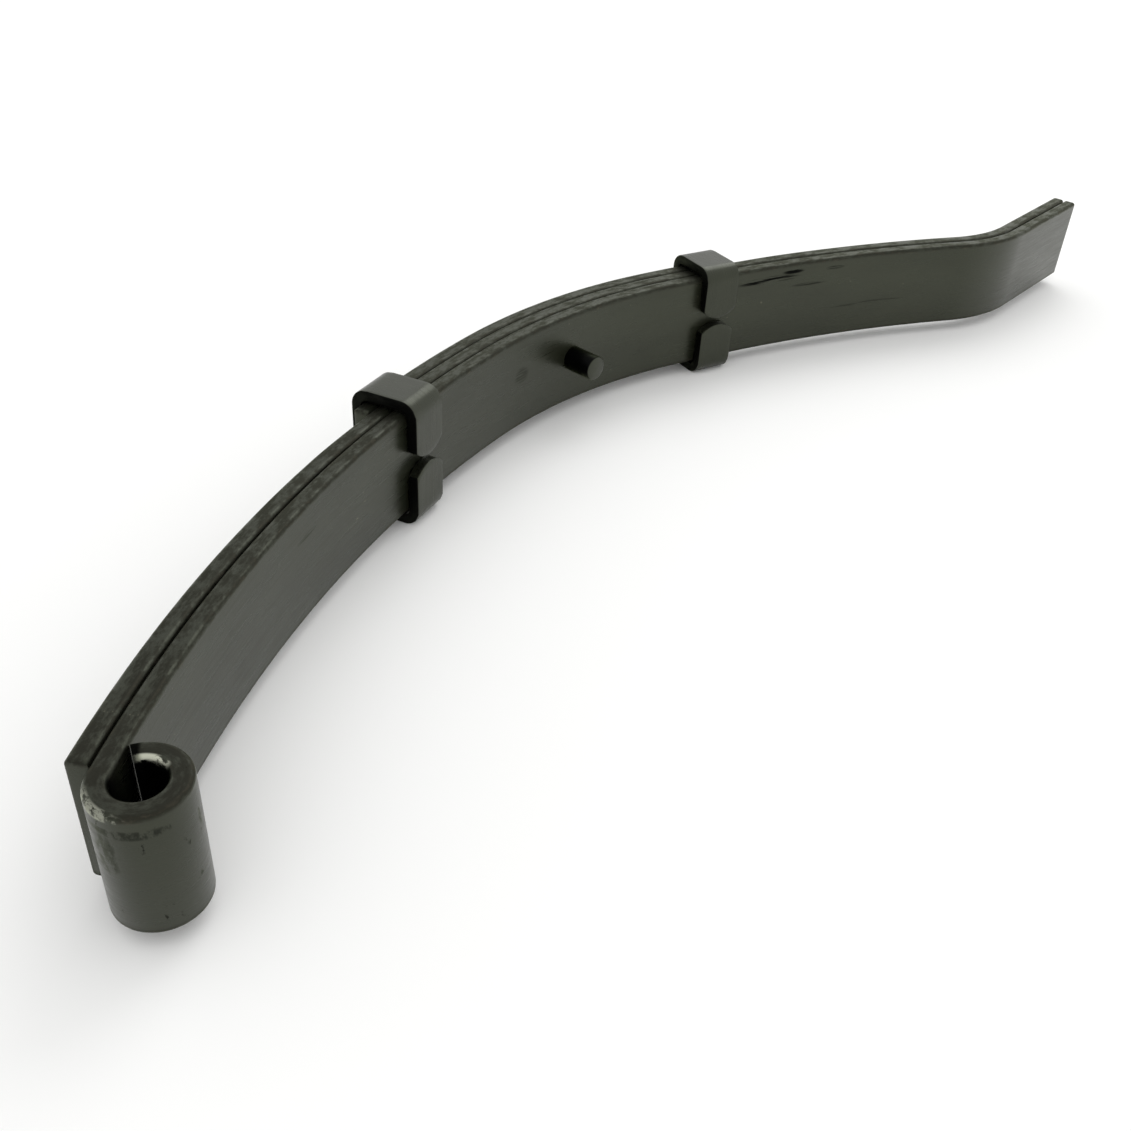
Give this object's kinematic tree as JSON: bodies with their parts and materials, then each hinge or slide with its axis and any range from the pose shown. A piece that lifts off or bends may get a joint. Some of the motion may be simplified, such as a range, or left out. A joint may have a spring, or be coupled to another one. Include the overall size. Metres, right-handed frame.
{
  "type": "leaf spring",
  "caption": "Slipper leaf spring on its edge: long leaves with a rolled eye and a bent slipper tail, a short third leaf, rebound clips and a centre bolt.",
  "frame": {"origin": "centre bolt axis where the bolt head meets the concave face of the main leaf, at mid width of the leaves", "axes": "+X along the seat towards the slipper end, +Y towards the convex, short leaf side, +Z across the leaf width, so the spring lies on its edge"},
  "size_m": [0.7447, 0.1895, 0.063],
  "materials": {
    "leaf_paint": "thin black paint over rolled spring steel, semi-gloss, worn at the edges",
    "clip_paint": "thin black paint over bent mild steel strap, semi-gloss",
    "bolt_paint": "thin black paint over a machined bolt, satin"
  },
  "bodies": {
    "seat_pack": {"main_leaf_seat": "leaf_paint", "second_leaf_seat": "leaf_paint", "third_leaf": "leaf_paint", "eye_side_clip": "clip_paint", "slipper_side_clip": "clip_paint", "eye_side_clip_rivet": "clip_paint", "slipper_side_clip_rivet": "clip_paint", "centre_bolt": "bolt_paint", "centre_bolt_nut": "bolt_paint"},
    "eye_arm": {"main_leaf_eye_arm": "leaf_paint", "second_leaf_eye_arm": "leaf_paint"},
    "slipper_arm": {"main_leaf_slipper_arm": "leaf_paint", "second_leaf_slipper_arm": "leaf_paint"}
  },
  "joints": [
    {"name": "eye_arm_flex", "type": "hinge", "parent": "seat_pack", "child": "eye_arm", "pos_m": [-0.15297, -0.01564, 0], "axis": [0, 0, -1], "range_deg": [0, 12], "stiffness_Nm_per_rad": 2300},
    {"name": "slipper_arm_flex", "type": "hinge", "parent": "seat_pack", "child": "slipper_arm", "pos_m": [0.12114, -0.0057, 0], "axis": [0, 0, 1], "range_deg": [0, 9.5], "stiffness_Nm_per_rad": 2980}
  ]
}
